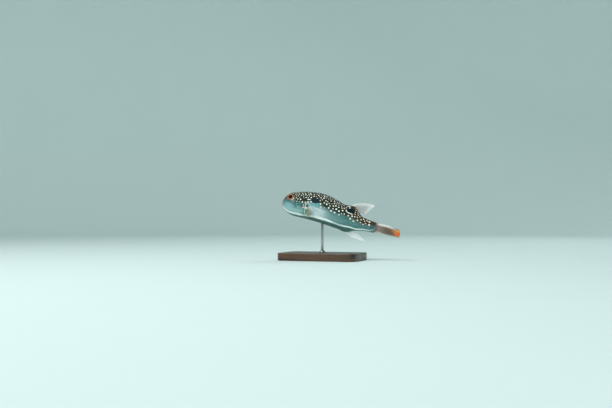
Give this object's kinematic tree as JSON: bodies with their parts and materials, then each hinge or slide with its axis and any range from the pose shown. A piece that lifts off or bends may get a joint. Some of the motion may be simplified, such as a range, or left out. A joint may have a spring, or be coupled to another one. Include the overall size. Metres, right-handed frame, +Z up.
{
  "type": "museum model of a pufferfish",
  "caption": "Still, life-size model of a small spotted pufferfish swimming snout up, held by one rod on a flat base.",
  "frame": {"origin": "centre of the underside of the stand's base, under the rod, on the surface it stands on", "axes": "+Z up; +X from the fish's snout towards its tail; the fish's left side faces -Y"},
  "size_m": [0.1442, 0.056, 0.0812],
  "materials": {
    "skin": "moist, satin fish skin",
    "eye": "wet and glossy",
    "fin": "thin rayed membrane",
    "tail_fin": "rayed membrane, orange end",
    "stand_wood": "dark, satin varnish",
    "stand_metal": "brushed"
  },
  "bodies": {
    "root": {"head": "skin", "trunk": "skin", "tail_stalk": "skin", "lip_upper": "skin", "lip_lower": "skin", "eye_left": "eye", "eye_right": "eye", "dorsal_fin": "fin", "anal_fin": "fin", "pectoral_fin_left": "fin", "pectoral_fin_right": "fin", "tail_fin": "tail_fin", "stand_base": "stand_wood", "stand_collar": "stand_metal", "stand_rod": "stand_metal"}
  },
  "joints": []
}
